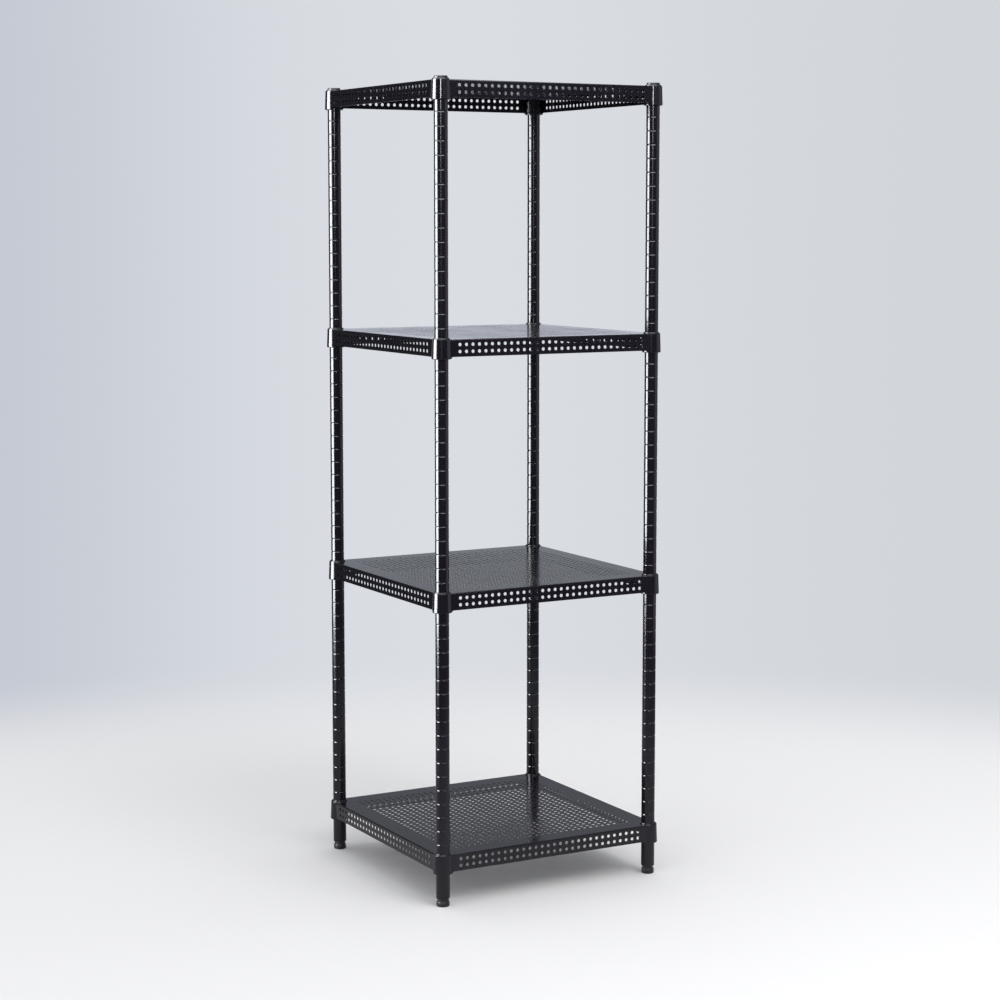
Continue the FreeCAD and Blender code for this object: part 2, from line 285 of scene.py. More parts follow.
def powder_coat(name, dark, light, rough_low, rough_high, dust_and_sheen):
    """Glossy powder coat on steel: orange peel, patchy gloss, and a dusting plus painted sheen on
    level faces.
    """
    nodes = Nodes(name)
    peel = nodes.cells(scale=620)
    grain = nodes.noise(scale=2600, detail=2)
    patches = nodes.noise(scale=9, detail=4)
    handling = nodes.noise(scale=38, detail=5, roughness=0.7)
    tone = nodes.colours((nodes.span(patches, "Fac", low=0, high=1), "Result"), dark, light)

    # Upward faces get lighter in specks: partly a dusting, partly a painted sheen standing in for
    # grazing reflection.
    facing = nodes.add("ShaderNodeNewGeometry")
    upward = nodes.add("ShaderNodeSeparateXYZ")
    nodes.link(facing, "Normal", upward, "Vector")
    level = nodes.span(upward, "Z", low=0, high=dust_and_sheen, start=0.6, stop=1.0)
    specks = nodes.span(handling, "Fac", low=0.35, high=1.0, start=0.35, stop=0.72)
    dust_and_sheen_mask = nodes.combine((level, "Result"), (specks, "Result"), "MULTIPLY")
    dust_and_sheen_tone = nodes.add("ShaderNodeMix", data_type="RGBA")
    nodes.link(dust_and_sheen_mask, "Value", dust_and_sheen_tone, "Factor")
    nodes.link(tone, "Result", dust_and_sheen_tone, "A")
    dust_and_sheen_tone.inputs["B"].default_value = DUST_AND_SHEEN_COLOUR
    nodes.link(dust_and_sheen_tone, "Result", nodes.shader, "Base Color")

    gloss = nodes.span(patches, "Fac", rough_low, rough_high)
    rubbed = nodes.span(handling, "Fac", low=-0.02, high=0.02)
    rough = nodes.combine((gloss, "Result"), (rubbed, "Result"))
    nodes.link(rough, "Value", nodes.shader, "Roughness")
    nodes.bumps([
        (peel, "Distance", 0.08, 0.05 * MM),
        (grain, "Fac", 0.05, 0.01 * MM),
    ])
    nodes.set(Specular_IOR_Level=0.5, IOR=1.5)
    return nodes.material


def moulded_plastic(name, dark, light, rough_low, rough_high, grain_strength):
    """Black moulded plastic: fine spark-eroded grain and slight flow marks."""
    nodes = Nodes(name)
    grain = nodes.noise(scale=3200, detail=3, roughness=0.6)
    flow = nodes.noise(scale=60, detail=3, roughness=0.5, stretch=(1, 1, 0.25))
    scuffs = nodes.noise(scale=420, detail=5, roughness=0.75, stretch=(1, 1, 0.3))
    tone = nodes.colours((nodes.span(flow, "Fac", low=0, high=1), "Result"), dark, light)
    nodes.link(tone, "Result", nodes.shader, "Base Color")
    base = nodes.span(flow, "Fac", rough_low, rough_high)
    worn = nodes.span(scuffs, "Fac", low=0.0, high=0.10, start=0.5, stop=0.75)
    rough = nodes.combine((base, "Result"), (worn, "Result"))
    nodes.link(rough, "Value", nodes.shader, "Roughness")
    nodes.bumps([
        (flow, "Fac", 0.06, 0.1 * MM),
        (grain, "Fac", grain_strength, 0.04 * MM),
    ])
    nodes.set(IOR=1.49)
    return nodes.material


def zinc_plate(name, cool, warm):
    """Zinc-plated steel: cloudy passivation tints and fine turning marks."""
    nodes = Nodes(name)
    clouds = nodes.noise(scale=160, detail=4, roughness=0.6)
    turning = nodes.noise(scale=900, detail=2, roughness=0.5, stretch=(0.08, 0.08, 1))
    tone = nodes.colours((nodes.span(clouds, "Fac", low=0, high=1), "Result"), cool, warm)
    nodes.link(tone, "Result", nodes.shader, "Base Color")
    base = nodes.span(clouds, "Fac", low=0.28, high=0.42)
    nodes.link(base, "Result", nodes.shader, "Roughness")
    nodes.bumps([(turning, "Fac", 0.25, 0.03 * MM)])
    nodes.set(Metallic=1.0)
    return nodes.material


COAT_DARK = (0.0056, 0.0046, 0.0088)
COAT_LIGHT = (0.0082, 0.0068, 0.0122)
# The last value sets how far level faces lighten: partly a dusting, partly a painted sheen.
BLACK = powder_coat(
    "black_powder_coat", COAT_DARK, COAT_LIGHT, rough_low=0.13, rough_high=0.17, dust_and_sheen=0.02
)
SHEET_BLACK = powder_coat(
    "black_sheet_coat", COAT_DARK, COAT_LIGHT, rough_low=0.15, rough_high=0.20, dust_and_sheen=0.03
)
SLEEVE = moulded_plastic(
    "black_nylon", dark=(0.012, 0.012, 0.014), light=(0.018, 0.017, 0.020),
    rough_low=0.22, rough_high=0.30, grain_strength=0.08,
)
PLASTIC = moulded_plastic(
    "black_grained_plastic", dark=(0.010, 0.010, 0.012), light=(0.016, 0.016, 0.019),
    rough_low=0.30, rough_high=0.40, grain_strength=0.16,
)
ZINC = zinc_plate("zinc_plated_steel", cool=(0.47, 0.48, 0.50), warm=(0.66, 0.65, 0.60))

for node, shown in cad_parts.items():
    if node.startswith(("foot_insert", "foot_stud")):
        finish = ZINC
    elif node.startswith(("foot_pad", "post_cap")):
        finish = PLASTIC
    elif node.startswith("sleeve"):
        finish = SLEEVE
    else:
        finish = BLACK
    shown.data.materials.clear()
    shown.data.materials.append(finish)


# ---- posts -------------------------------------------------------------------------------------

GROOVE_FIRST = 66.0 * MM
GROOVE_PITCH = 25.4 * MM
GROOVE_COUNT = 57
# One rolled groove: (height from its middle, depth), with lips softened by the coating.
GROOVE = (
    (-1.65, 0.0), (-1.35, 0.04), (-1.05, 0.17), (-0.7, 0.38), (-0.35, 0.55), (0.0, 0.6),
    (0.35, 0.55), (0.7, 0.38), (1.05, 0.17), (1.35, 0.04), (1.65, 0.0),
)


def post_mesh():
    """A tube with bevelled ends and a ring groove at every pitch."""
    low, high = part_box("post_front_left")
    wall, bevel = 1.2 * MM, 0.8 * MM
    radius = radius_of("post_front_left")
    bore = radius - wall
    outline = [(bore, low.z), (radius - bevel, low.z)]
    outline += arc(radius - bevel, low.z + bevel, bevel, -60, 0, 3)
    for i in range(GROOVE_COUNT):
        middle = GROOVE_FIRST + i * GROOVE_PITCH
        outline += [(radius - depth * MM, middle + up * MM) for up, depth in GROOVE]
    outline += arc(radius - bevel, high.z - bevel, bevel, 0, 60, 3)
    outline += [(radius - bevel, high.z), (bore, high.z)]
    return lathe("post", outline)


# ---- caps and levelling feet -------------------------------------------------------------------

STUD_HOLE = 4.05 * MM


def cap_mesh():
    """A cap's head with a rounded edge and a small gate mark, and its plug in the bore."""
    low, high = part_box("post_cap_front_left")
    post_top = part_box("post_front_left")[1].z
    head, plug, lead_in = radius_of("post_cap_front_left"), 11.4 * MM, 1.0 * MM
    edge, gate, gate_depth = 1.4 * MM, 1.4 * MM, 0.25 * MM
    outline = [(0, low.z), (plug - lead_in, low.z), (plug, low.z + lead_in)]
    outline += [(plug, post_top), (head, post_top)]
    outline += arc(head - edge, high.z - edge, edge, 0, 90, 6)
    outline += arc(gate, high.z - gate_depth, gate_depth, 90, 180, 3)
    outline += [(0, high.z - gate_depth)]
    return lathe("cap", outline, closed=False)


def pad_mesh():
    """A foot pad: rounded sole with a recessed ring, a chamfered shoulder and a narrow neck."""
    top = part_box("foot_pad_front_left")[1].z
    stud_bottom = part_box("foot_stud_front_left")[0].z
    radius, neck, shoulder = radius_of("foot_pad_front_left"), 10.6 * MM, 9 * MM
    recess, recess_depth, recess_slope = 7.0 * MM, 0.5 * MM, 0.4 * MM
    sole_round, shoulder_round, fillet = 2 * MM, 1 * MM, 0.3 * MM
    outline = [(0, recess_depth), (recess - recess_slope, recess_depth), (recess, 0.0)]
    outline += arc(radius - sole_round, sole_round, sole_round, -90, 0, 6)
    outline += arc(radius - shoulder_round, shoulder - shoulder_round, shoulder_round, 0, 60, 4)
    outline += [(neck + fillet, shoulder), (neck, shoulder + fillet), (neck, top)]
    outline += [(STUD_HOLE, top), (STUD_HOLE, stud_bottom), (0, stud_bottom)]
    return lathe("pad", outline, closed=False)


def stud_mesh():
    """A levelling stud with a helical thread, its crests at the CAD stud's radius."""
    low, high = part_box("foot_stud_front_left")
    crest, depth, pitch = radius_of("foot_stud_front_left"), 0.6 * MM, 1.25 * MM
    point_length, point_depth = 1.2 * MM, 0.9
    steepness, flat_crest = 2.6, 0.2
    sides, rows = 48, int((high.z - low.z) / (pitch / 6))
    points = [(0, 0, low.z)]
    for k in range(rows + 1):
        height = low.z + (high.z - low.z) * k / rows
        full = min(1.0, (high.z - height) / point_length)
        for i in range(sides):
            phase = (height / pitch - i / sides) % 1.0
            profile = min(1.0, max(0.0, abs(phase - 0.5) * steepness - flat_crest))
            radius = crest - depth * max(1 - profile, point_depth * (1 - full))
            angle = 2 * math.pi * i / sides
            points.append((radius * math.cos(angle), radius * math.sin(angle), height))
    points.append((0, 0, high.z))
    faces = []
    for k in range(rows):
        for i in range(sides):
            a, b = 1 + k * sides + i, 1 + k * sides + (i + 1) % sides
            faces.append((a, b, b + sides, a + sides))
    top = len(points) - 1
    for i in range(sides):
        j = (i + 1) % sides
        faces.append((0, 1 + j, 1 + i))
        faces.append((top, 1 + rows * sides + i, 1 + rows * sides + j))
    return mesh_from("stud", points, faces)


def insert_mesh():
    """The threaded bush in a post's lower end: a bevelled mouth around the stud's hole."""
    low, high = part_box("foot_insert_front_left")
    outer, mouth = radius_of("foot_insert_front_left"), 0.8 * MM
    edge, lead_in = 0.3 * MM, 1.0 * MM
    outline = [(STUD_HOLE, low.z + mouth), (STUD_HOLE + mouth, low.z), (outer - edge, low.z)]
    outline += [(outer, low.z + edge), (outer, high.z - lead_in), (outer - lead_in, high.z)]
    outline += [(STUD_HOLE, high.z)]
    return lathe("insert", outline, count=64)


# ---- collars and sleeves -----------------------------------------------------------------------

COLLAR_TOP = 16.7 * MM
COLLAR_BOTTOM = 18.0 * MM
COLLAR_LENGTH = 36.0 * MM
COLLAR_WALL = 1.6 * MM
SLEEVE_GAP = 0.3 * MM
SLEEVE_BORE = 12.75 * MM
SLEEVE_ABOVE_COLLAR = 2.0 * MM
SLEEVE_FOOT = 0.5 * MM
SLEEVE_SPAN = 178


def collar_radius(height):
    """Outside radius of a collar at a height above its lower end."""
    return COLLAR_BOTTOM - (COLLAR_BOTTOM - COLLAR_TOP) * height / COLLAR_LENGTH


def collar_mesh():
    """A tapered ring with a rounded lower edge and a rolled top lip."""
    lip, foot, burr = 0.7 * MM, 1.5 * MM, 0.2 * MM
    crown = COLLAR_LENGTH - lip
    inside = COLLAR_TOP - COLLAR_WALL
    mouth = COLLAR_BOTTOM - COLLAR_WALL
    outline = [(mouth, burr), (mouth + burr, 0.0)]
    outline += arc(collar_radius(foot) - foot, foot, foot, -90, 0, 6)
    outline += arc(collar_radius(crown) - lip, crown, lip, 0, 90, 5)
    outline += arc(inside + lip, crown, lip, 90, 180, 5)
    return lathe("collar", outline)


def sleeve_mesh(corner):
    """Both halves of a split wedge sleeve, which part along the line square to the corner's diagonal.

    Their rounded top edge shows above the collar."""
    edge = 0.8 * MM
    inset = COLLAR_WALL + SLEEVE_GAP
    head = COLLAR_LENGTH + SLEEVE_ABOVE_COLLAR
    shoulder = collar_radius(head - edge) - inset
    outline = [(SLEEVE_BORE, SLEEVE_FOOT), (collar_radius(SLEEVE_FOOT) - inset, SLEEVE_FOOT)]
    outline += arc(shoulder - edge, head - edge, edge, 0, 90, 5)
    outline += [(SLEEVE_BORE, head)]
    points, faces = half_shell(outline, SLEEVE_SPAN)
    count = len(points)
    points += [(-x, -y, z) for x, y, z in points]
    faces += [tuple(p + count for p in f) for f in faces]
    mesh = mesh_from(f"sleeve_{corner}", points, faces)
    at = axis_of(corner)
    mesh.transform(Matrix.Rotation(math.atan2(at.y, at.x), 4, "Z"))
    return mesh


# ---- shelf pan ---------------------------------------------------------------------------------

HALF_SPACING = 222.0 * MM
RAIL_FACE = 13.2 * MM
SHEET = 0.8 * MM
BEND = 2.0 * MM
LIP = 0.5 * MM
RAIL_HEIGHT = 31.5 * MM
TAB_DROP = 3.2 * MM
TAB_REACH = 13.5 * MM
HOLE_RADIUS = 3.0 * MM
HOLE_RIM = 0.32 * MM
HOLE_PITCH = 13.2 * MM
HOLE_COUNT = 30
RAIL_ROWS = (-9.5 * MM, -22.0 * MM)
COLLAR_ABOVE_DECK = 0.4 * MM
DECK_HOLE_SIDES = 20
RAIL_HOLE_SIDES = 24
INSIDE_ONLY = 1  # the triangulation's mode that keeps what lies inside the outline
CLOSEST_POINTS = 1e-7


def reach(across, height):
    """How far along an edge the sheet runs before it is inside the collar's wall.

    across is the distance outside the post's centre line, height is from the deck."""
    up = height + COLLAR_LENGTH - COLLAR_ABOVE_DECK
    middle_of_wall = collar_radius(up) - COLLAR_WALL / 2
    return HALF_SPACING - math.sqrt(middle_of_wall**2 - across**2)


def hole_line():
    return [(i - (HOLE_COUNT - 1) / 2) * HOLE_PITCH for i in range(HOLE_COUNT)]


def punched_plate(outline, centres, sides):
    """A flat plate in (u, v, depth) with punched holes whose edges are rolled over.

    Returns its points, its faces, and which of the faces are flat."""
    rings = []
    flat_points = [Vector(p) for p in outline]
    count = len(flat_points)
    edges = [(i, (i + 1) % count) for i in range(count)]
    turns = [2 * math.pi * i / sides for i in range(sides)]
    circle = [(math.cos(angle), math.sin(angle)) for angle in turns]
    mouth = HOLE_RADIUS + HOLE_RIM
    for x, y in centres:
        start = len(flat_points)
        flat_points += [Vector((x + mouth * right, y + mouth * up)) for right, up in circle]
        edges += [(start + i, start + (i + 1) % sides) for i in range(sides)]
        rings.append(start)
    found = delaunay_2d_cdt(flat_points, edges, [], INSIDE_ONLY, CLOSEST_POINTS)
    corners, triangles = found[0], found[2]
    assert len(corners) == len(flat_points), "the plate's triangles use other points"

    def hole_of(point):
        return (point - count) // sides if point >= count else -1

    kept = [t for t in triangles if hole_of(t[0]) < 0 or len({hole_of(p) for p in t}) > 1]
    total = len(flat_points)
    points = [(p.x, p.y, 0.0) for p in corners] + [(p.x, p.y, SHEET) for p in corners]
    faces = [tuple(t) for t in kept] + [tuple(p + total for p in reversed(t)) for t in kept]
    flat = [True] * len(faces)
    for i in range(count):
        j = (i + 1) % count
        faces.append((j, i, i + total, j + total))
        flat.append(True)
    for (x, y), start in zip(centres, rings):
        upper = len(points)
        for depth in (HOLE_RIM, SHEET - HOLE_RIM):
            points += [(x + HOLE_RADIUS * right, y + HOLE_RADIUS * up, depth) for right, up in circle]
        lower = upper + sides
        for i in range(sides):
            j = (i + 1) % sides
            faces.append((start + i, start + j, upper + j, upper + i))
            faces.append((upper + i, upper + j, lower + j, lower + i))
            faces.append((lower + i, lower + j, start + total + j, start + total + i))
            flat += [False, False, False]
    return points, faces, flat


def deck_outline():
    """The deck between the folds, with each corner cut round the middle of the collar's wall."""
    steps = 16
    edge = HALF_SPACING + RAIL_FACE - BEND - LIP
    across = edge - HALF_SPACING
    near = reach(across, 0)
    radius = math.hypot(HALF_SPACING - near, across)
    start = math.atan2(near - HALF_SPACING, across)
    stop = math.atan2(across, near - HALF_SPACING)
    outline = []
    for turn in range(4):
        for i in range(steps + 1):
            angle = start + (stop - 2 * math.pi - start) * i / steps
            x = HALF_SPACING + radius * math.cos(angle)
            y = HALF_SPACING + radius * math.sin(angle)
            for _ in range(turn):
                x, y = -y, x
            outline.append((x, y))
    return outline


def rail_outline():
    """A rail's flat face below the fold as (along, height), with a rounded tab at each end."""
    steps = 8
    top, low = -BEND - LIP, -RAIL_HEIGHT
    tab = HALF_SPACING - TAB_REACH
    side = []
    for i in range(steps + 1):
        height = top + (low - TAB_DROP - top) * i / steps
        side.append((-reach(RAIL_FACE, height), height))
    for i in range(steps + 1):
        angle = math.pi / 2 * i / steps
        along = -tab + TAB_DROP * (1 - math.cos(angle))
        height = low - TAB_DROP + TAB_DROP * math.sin(angle)
        side.append((along, height))
    return side + [(-x, z) for x, z in reversed(side)]


def fold_strip():
    """The quarter bend between deck and rail, with a flat lip on each side: points and faces."""
    steps = 8
    outer, inner = [], []
    for radius, row in ((BEND, outer), (BEND - SHEET, inner)):
        row.append((RAIL_FACE - BEND - LIP, radius - BEND))
        for i in range(steps + 1):
            angle = math.pi / 2 * (1 - i / steps)
            across = RAIL_FACE - BEND + radius * math.cos(angle)
            row.append((across, -BEND + radius * math.sin(angle)))
        row.append((RAIL_FACE - BEND + radius, -BEND - LIP))
    points, faces = [], []
    for row in (outer, inner):
        for across, height in row:
            along, face = reach(across, height), -HALF_SPACING - across
            points += [(-along, face, height), (along, face, height)]
    count = len(outer)
    for i in range(count - 1):
        a, b = 2 * i, 2 * (i + count)
        faces.append((a, a + 2, a + 3, a + 1))
        faces.append((b, b + 1, b + 3, b + 2))
    return points, faces


def weld_bead(side):
    """A small uneven weld in the crease between the front rail's face and a collar.

    Its half thickness, in millimetres, wobbles with two waves that never fall in step. Its ends
    taper off."""
    steps, sides = 60, 8
    from_ends, thickness, unevenness = 2.2 * MM, 0.62, 0.10
    quick, slow, offset = 1.7, 0.61, 1.3
    thin_end, taper_steps = 0.35, 4
    sunk, flatness = 0.15 * MM, 0.8
    points, faces = [], []
    for k in range(steps + 1):
        height = -from_ends - (RAIL_HEIGHT + TAB_DROP - 2 * from_ends) * k / steps
        up = height + COLLAR_LENGTH - COLLAR_ABOVE_DECK
        crease = HALF_SPACING - math.sqrt(collar_radius(up) ** 2 - RAIL_FACE**2)
        wobble = math.sin(k * quick) * 0.5 + math.sin(k * slow + offset) * 0.5
        taper = min(1.0, thin_end + min(k, steps - k) / taper_steps)
        size = (thickness + unevenness * wobble) * MM * taper
        for i in range(sides):
            angle = 2 * math.pi * i / sides
            points.append((
                side * (crease + size * math.cos(angle)),
                -HALF_SPACING - RAIL_FACE + sunk + flatness * size * math.sin(angle),
                height,
            ))
    for k in range(steps):
        for i in range(sides):
            a, b = k * sides + i, k * sides + (i + 1) % sides
            faces.append((a, b, b + sides, a + sides)[::side])
    faces.append(tuple(range(sides))[::-side])
    faces.append(tuple(steps * sides + i for i in range(sides))[::side])
    return points, faces


def pan_mesh():
    """A shelf: perforated deck, four folded perforated rails and the welds to the collars."""
    points, faces, flat = [], [], []

    def take(new_points, new_faces, new_flat, turn=0):
        base = len(points)
        for x, y, z in new_points:
            for _ in range(turn):
                x, y = -y, x
            points.append((x, y, z))
        faces.extend(tuple(base + p for p in face) for face in new_faces)
        flat.extend(new_flat)

    line = hole_line()
    deck_holes = [(x, y) for x in line for y in line]
    found, plate_faces, plate_flat = punched_plate(deck_outline(), deck_holes, DECK_HOLE_SIDES)
    take([(x, y, -depth) for x, y, depth in found], plate_faces, plate_flat)

    face = -HALF_SPACING - RAIL_FACE
    rail_holes = [(x, z) for x in line for z in RAIL_ROWS]
    found, plate_faces, plate_flat = punched_plate(rail_outline(), rail_holes, RAIL_HOLE_SIDES)
    rail = [(x, face + depth, z) for x, z, depth in found]
    fold_points, fold_faces = fold_strip()
    for turn in range(4):
        take(rail, plate_faces, plate_flat, turn)
        take(fold_points, fold_faces, [False] * len(fold_faces), turn)
        for side in (-1, 1):
            bead_points, bead_faces = weld_bead(side)
            take(bead_points, bead_faces, [False] * len(bead_faces), turn)
    return mesh_from("pan", points, faces, flat=flat)


# ---- putting the pieces in place ---------------------------------------------------------------


post = finished(post_mesh(), BLACK)
cap = finished(cap_mesh(), PLASTIC)
pad = finished(pad_mesh(), PLASTIC)
stud = finished(stud_mesh(), ZINC)
insert = finished(insert_mesh(), ZINC)
collar = finished(collar_mesh(), BLACK)
sleeves = {corner: finished(sleeve_mesh(corner), SLEEVE) for corner in CORNERS}
pan = finished(pan_mesh(), SHEET_BLACK)

for corner in CORNERS:
    node = f"post_{corner}"
    piece(f"{node}_shown", post, "posts", [node], axis_of(corner))

for corner in CORNERS:
    at = axis_of(corner)
    piece(f"cap_{corner}", cap, "posts", [f"post_cap_{corner}"], at)
    piece(f"insert_{corner}", insert, "posts", [f"foot_insert_{corner}"], at)
    piece(f"pad_{corner}", pad, f"foot_{corner}", [f"foot_pad_{corner}"], at)
    piece(f"stud_{corner}", stud, f"foot_{corner}", [f"foot_stud_{corner}"], at)

for level in LEVELS:
    body, node = f"shelf_{level}", f"shelf_{level}_pan"
    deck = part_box(node)[1].z
    piece(f"pan_{level}", pan, body, [node], (0, 0, deck))
    for corner in CORNERS:
        node = f"shelf_{level}_collar_{corner}"
        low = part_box(node)[0].z
        at = axis_of(corner) + Vector((0, 0, low))
        piece(f"collar_{level}_{corner}", collar, body, [node], at)
        node = f"sleeve_{level}_{corner}"
        piece(f"{node}_shown", sleeves[corner], "posts", [node], at)


# ---- floor, backdrop and light -----------------------------------------------------------------

CAMERA_PLACE = Vector((-2.1057, -3.8275, 1.2485))
CAMERA_TURN = math.radians(-29.054)
CAMERA_DOWN = math.radians(6.384)
CAMERA_LENS = 82.2
CAMERA_SENSOR = 36.0
CAMERA_SHIFT = -0.025
CAMERA_REACH = 200
TO_LEFT = Vector((-math.cos(CAMERA_TURN), -math.sin(CAMERA_TURN), 0))
AHEAD = (-math.sin(CAMERA_TURN), math.cos(CAMERA_TURN), 0)

# Backdrop brightness by how far left of straight ahead a direction lies (sine of the angle).
BACKDROP = (
    (-0.20, (0.640, 0.664, 0.702)),
    (-0.09, (0.665, 0.688, 0.728)),
    (0.0, (0.712, 0.728, 0.772)),
    (0.09, (0.690, 0.722, 0.765)),
    (0.16, (0.605, 0.636, 0.690)),
    (0.22, (0.545, 0.572, 0.645)),
)

# What matt surfaces see all round them.
SKY_COLOUR = (0.97, 0.975, 0.99, 1)
SKY_STRENGTH = 0.86

# What glossy surfaces mirror: a dim room, lighter low down in the directions that lie ahead. How
# far ahead and how high a direction points are parts of a vector of length 1.
ROOM_COLOUR = (0.84, 0.88, 1.0, 1)
ROOM_STRENGTH = 0.085
ROOM_AHEAD_FROM, ROOM_AHEAD_FULL = 0.70, 0.92
ROOM_LOW_HEIGHT, ROOM_HIGH_HEIGHT = 0.02, 0.16
ROOM_LOW_STRENGTH, ROOM_HIGH_STRENGTH = 1.45, 0.29

# The floor turns into the backdrop over a ring round the sweep's centre: there it glows, an emitter in
# the backdrop's colours, not lit. Where it is mirrored, it glows with the dim room as it gets farther
# from the object.
FLOOR_COLOUR = (0.86, 0.862, 0.87, 1)
FLOOR_RADIUS = 40.0
SWEEP_CENTRE = (-0.71, -1.32, 0)
SWEEP_FROM, SWEEP_FULL = 2.35, 3.7
MIRROR_CENTRE = (0, 0, 0.8)
MIRROR_FROM, MIRROR_FULL = 0.4, 2.1
MIRROR_LEAST = 0.4

WARM_LIGHT = (1.0, 0.99, 0.98)
COOL_LIGHT = (0.91, 0.94, 1.0)

# Soft lights that are only seen mirrored: (name, place, point they face, width, height, radiance).
LEFT_SOFTBOX = ("left_softbox", (-2.33, 0.58, 1.36), (0, 0, 1.2), 1.7, 2.6, 25)
MIRRORED_SOFTBOXES = (
    ("right_softbox", (2.28, -1.25, 1.5), (0, 0, 1.2), 2.3, 3.0, 0.55),
    ("strip_high", (-2.45, -4.4, 2.1), (0, 0, 1.5), 0.40, 0.7, 45),
    ("strip_low", (-2.45, -4.4, 1.5), (0, 0, 1.5), 0.40, 0.5, 4.5),
    ("ceiling", (-0.6, -1.0, 3.5), (-0.3, -0.5, 0), 3.2, 3.2, 8),
)
# Soft lights that light everything.
SOFTBOXES = (
    ("key", (0.4, -2.4, 2.5), (0, -0.6, 0), 1.6, 1.6, 4.3),
    ("overhead", (-0.5, -0.6, 3.4), (-0.3, -0.6, 0), 2.8, 2.8, 0.4),
)


def span(tree, source, start, stop, low, high):
    """Map a value from start..stop to low..high."""
    node = tree.nodes.new("ShaderNodeMapRange")
    for socket, value in (("From Min", start), ("From Max", stop), ("To Min", low), ("To Max", high)):
        node.inputs[socket].default_value = value
    tree.links.new(source, node.inputs["Value"])
    return node


def choose(tree, factor, first, second):
    """Mix two shaders."""
    node = tree.nodes.new("ShaderNodeMixShader")
    tree.links.new(factor, node.inputs["Fac"])
    tree.links.new(first, node.inputs[1])
    tree.links.new(second, node.inputs[2])
    return node.outputs["Shader"]


def multiply(tree, first, second):
    node = tree.nodes.new("ShaderNodeMath")
    node.operation = "MULTIPLY"
    tree.links.new(first, node.inputs[0])
    tree.links.new(second, node.inputs[1])
    return node.outputs["Value"]


def vector_maths(tree, operation, source, value):
    """A vector node that takes a fixed second vector."""
    node = tree.nodes.new("ShaderNodeVectorMath")
    node.operation = operation
    node.inputs[1].default_value = value
    tree.links.new(source, node.inputs[0])
    return node


def distance_from(tree, source, place):
    return vector_maths(tree, "DISTANCE", source, place).outputs["Value"]


def direction_from(tree, source, place):
    away = vector_maths(tree, "SUBTRACT", source, place)
    unit = tree.nodes.new("ShaderNodeVectorMath")
    unit.operation = "NORMALIZE"
    tree.links.new(away.outputs["Vector"], unit.inputs[0])
    return unit.outputs["Vector"]


def backdrop_ramp(tree, source):
    """Colour by the sideways part of a direction."""
    side = vector_maths(tree, "DOT_PRODUCT", source, TO_LEFT)
    first, last = BACKDROP[0][0], BACKDROP[-1][0]
    scaled = span(tree, side.outputs["Value"], first, last, 0, 1)
    ramp = tree.nodes.new("ShaderNodeValToRGB")
    ramp.color_ramp.interpolation = "B_SPLINE"
    while len(ramp.color_ramp.elements) < len(BACKDROP):
        ramp.color_ramp.elements.new(0.5)
    for element, (at, colour) in zip(ramp.color_ramp.elements, BACKDROP):
        element.position = (at - first) / (last - first)
        element.color = (*colour, 1)
    tree.links.new(scaled.outputs["Result"], ramp.inputs["Fac"])
    return ramp


def room_strength(tree, source):
    """How bright the dim room is in a direction."""
    ahead = vector_maths(tree, "DOT_PRODUCT", source, AHEAD).outputs["Value"]
    facing = span(tree, ahead, ROOM_AHEAD_FROM, ROOM_AHEAD_FULL, 0, 1)
    parts = tree.nodes.new("ShaderNodeSeparateXYZ")
    tree.links.new(source, parts.inputs["Vector"])
    low_down = span(
        tree, parts.outputs["Z"],
        ROOM_LOW_HEIGHT, ROOM_HIGH_HEIGHT, ROOM_LOW_STRENGTH, ROOM_HIGH_STRENGTH,
    )
    strength = tree.nodes.new("ShaderNodeMix")
    tree.links.new(facing.outputs["Result"], strength.inputs["Factor"])
    strength.inputs["A"].default_value = ROOM_STRENGTH
    tree.links.new(low_down.outputs["Result"], strength.inputs["B"])
    return strength.outputs["Result"]


def make_world():
    """The camera sees a pale backdrop, matt surfaces an even sky and glossy ones a dimmer room."""
    world = bpy.data.worlds.new("studio")
    bpy.context.scene.world = world
    world.use_nodes = True
    tree = world.node_tree
    tree.nodes.clear()
    place = tree.nodes.new("ShaderNodeTexCoord")
    ramp = backdrop_ramp(tree, place.outputs["Generated"])
    seen = tree.nodes.new("ShaderNodeBackground")
    tree.links.new(ramp.outputs["Color"], seen.inputs["Color"])
    room = tree.nodes.new("ShaderNodeBackground")
    room.inputs["Color"].default_value = ROOM_COLOUR
    tree.links.new(room_strength(tree, place.outputs["Generated"]), room.inputs["Strength"])
    even = tree.nodes.new("ShaderNodeBackground")
    even.inputs["Color"].default_value = SKY_COLOUR
    even.inputs["Strength"].default_value = SKY_STRENGTH

    path = tree.nodes.new("ShaderNodeLightPath")
    surround = choose(
        tree, path.outputs["Is Diffuse Ray"], room.outputs["Background"], even.outputs["Background"]
    )
    shown = choose(tree, path.outputs["Is Camera Ray"], surround, seen.outputs["Background"])
    output = tree.nodes.new("ShaderNodeOutputWorld")
    tree.links.new(shown, output.inputs["Surface"])


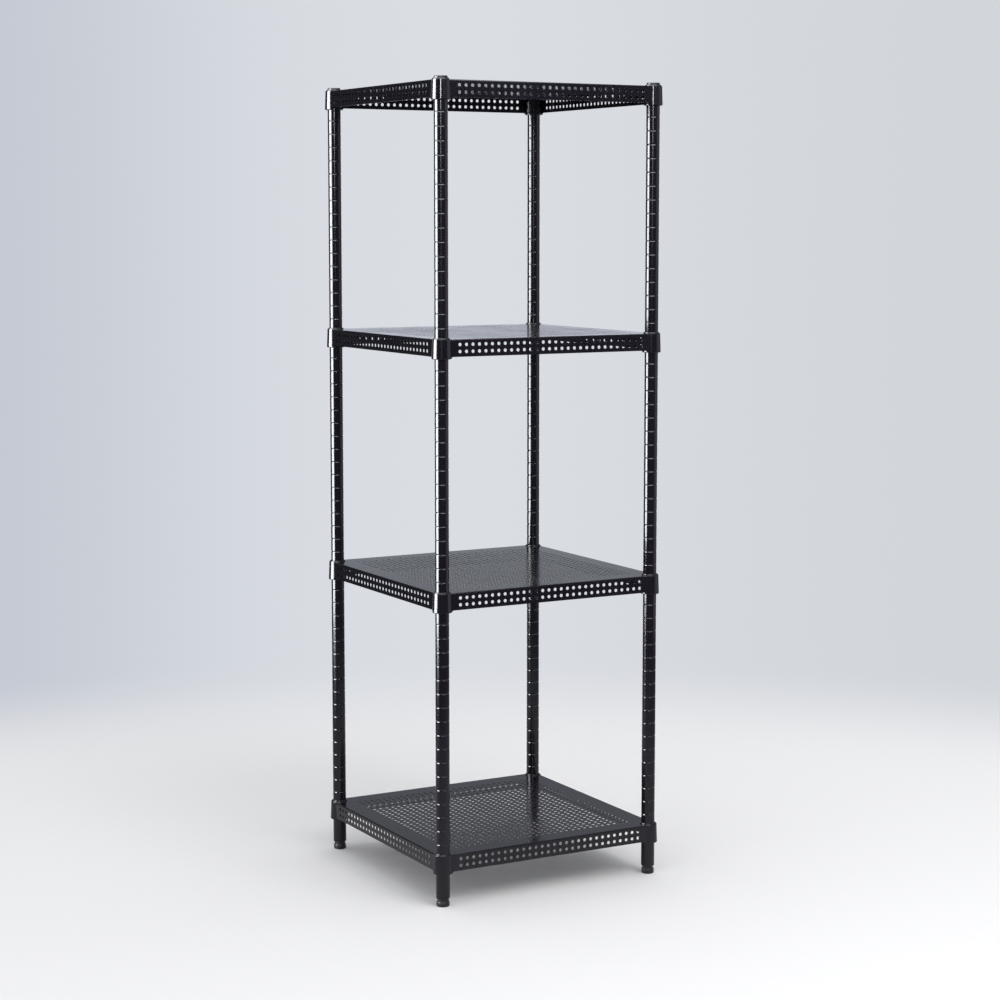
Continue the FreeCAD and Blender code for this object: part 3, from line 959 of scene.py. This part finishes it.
def floor_material():
    """White studio floor: farther out it glows in the backdrop's colours, and with the dim room where
    it is mirrored.
    """
    material = bpy.data.materials.new("studio_floor")
    material.use_nodes = True
    tree = material.node_tree
    tree.nodes.clear()
    position = tree.nodes.new("ShaderNodeNewGeometry").outputs["Position"]
    matt = tree.nodes.new("ShaderNodeBsdfDiffuse")
    matt.inputs["Color"].default_value = FLOOR_COLOUR
    path = tree.nodes.new("ShaderNodeLightPath")

    ramp = backdrop_ramp(tree, direction_from(tree, position, CAMERA_PLACE))
    # Far out the floor glows in the backdrop's colours for the camera, an emitter rather than lit.
    wall = tree.nodes.new("ShaderNodeEmission")
    tree.links.new(ramp.outputs["Color"], wall.inputs["Color"])
    from_sweep = distance_from(tree, position, SWEEP_CENTRE)
    fade = span(tree, from_sweep, SWEEP_FROM, SWEEP_FULL, 0, 1)
    fade.interpolation_type = "SMOOTHERSTEP"
    seen = multiply(tree, fade.outputs["Result"], path.outputs["Is Camera Ray"])

    from_object = direction_from(tree, position, MIRROR_CENTRE)
    # Where mirrored far from the object, the floor glows with the dim room's colour instead of its lit
    # white.
    room = tree.nodes.new("ShaderNodeEmission")
    room.inputs["Color"].default_value = ROOM_COLOUR
    tree.links.new(room_strength(tree, from_object), room.inputs["Strength"])
    away = distance_from(tree, position, (0, 0, 0))
    beyond = span(tree, away, MIRROR_FROM, MIRROR_FULL, MIRROR_LEAST, 1)
    mirrored = multiply(tree, beyond.outputs["Result"], path.outputs["Is Glossy Ray"])

    near = choose(tree, mirrored, matt.outputs["BSDF"], room.outputs["Emission"])
    output = tree.nodes.new("ShaderNodeOutputMaterial")
    tree.links.new(choose(tree, seen, near, wall.outputs["Emission"]), output.inputs["Surface"])
    return material


def make_floor():
    steps = 64
    points = [(0, 0, 0)]
    for i in range(steps):
        angle = 2 * math.pi * i / steps
        points.append((FLOOR_RADIUS * math.cos(angle), FLOOR_RADIUS * math.sin(angle), 0))
    faces = [(0, 1 + i, 1 + (i + 1) % steps) for i in range(steps)]
    mesh = mesh_from("floor", points, faces)
    mesh.materials.append(floor_material())
    floor = bpy.data.objects.new("floor", mesh)
    bpy.context.scene.collection.objects.link(floor)


def softbox(name, place, target, width, height, radiance, mirrored_only=False, receivers=None):
    """A rectangular soft light of a given radiance that faces a point, for all or some pieces."""
    light = bpy.data.lights.new(name, "AREA")
    light.shape = "RECTANGLE"
    light.size, light.size_y = width, height
    light.energy = radiance * width * height * math.pi
    light.color = COOL_LIGHT if mirrored_only else WARM_LIGHT
    shown = bpy.data.objects.new(name, light)
    shown.location = place
    facing = Vector(target) - Vector(place)
    shown.rotation_euler = facing.to_track_quat("-Z", "Y").to_euler()
    shown.visible_diffuse = not mirrored_only
    shown.visible_camera = False
    bpy.context.scene.collection.objects.link(shown)
    if receivers:
        group = bpy.data.collections.new(f"{name}_receivers")
        for receiver in receivers:
            group.objects.link(receiver)
        shown.light_linking.receiver_collection = group


def make_camera():
    camera = bpy.data.cameras.new("camera")
    camera.lens = CAMERA_LENS
    camera.sensor_width = CAMERA_SENSOR
    camera.shift_y = CAMERA_SHIFT
    camera.clip_end = CAMERA_REACH
    shown = bpy.data.objects.new("camera", camera)
    shown.location = CAMERA_PLACE
    shown.rotation_euler = (math.pi / 2 - CAMERA_DOWN, 0, CAMERA_TURN)
    bpy.context.scene.collection.objects.link(shown)
    bpy.context.scene.camera = shown


make_world()
make_floor()
# The left softbox doesn't light the pans: seen from the right side, the decks would mirror it white.
not_pans = [shown for name, shown in pieces.items() if not name.startswith("pan_")]
softbox(*LEFT_SOFTBOX, mirrored_only=True, receivers=not_pans)
for values in MIRRORED_SOFTBOXES:
    softbox(*values, mirrored_only=True)
for values in SOFTBOXES:
    softbox(*values)
make_camera()
view = bpy.context.scene.view_settings
view.view_transform = "Standard"
view.look = "None"
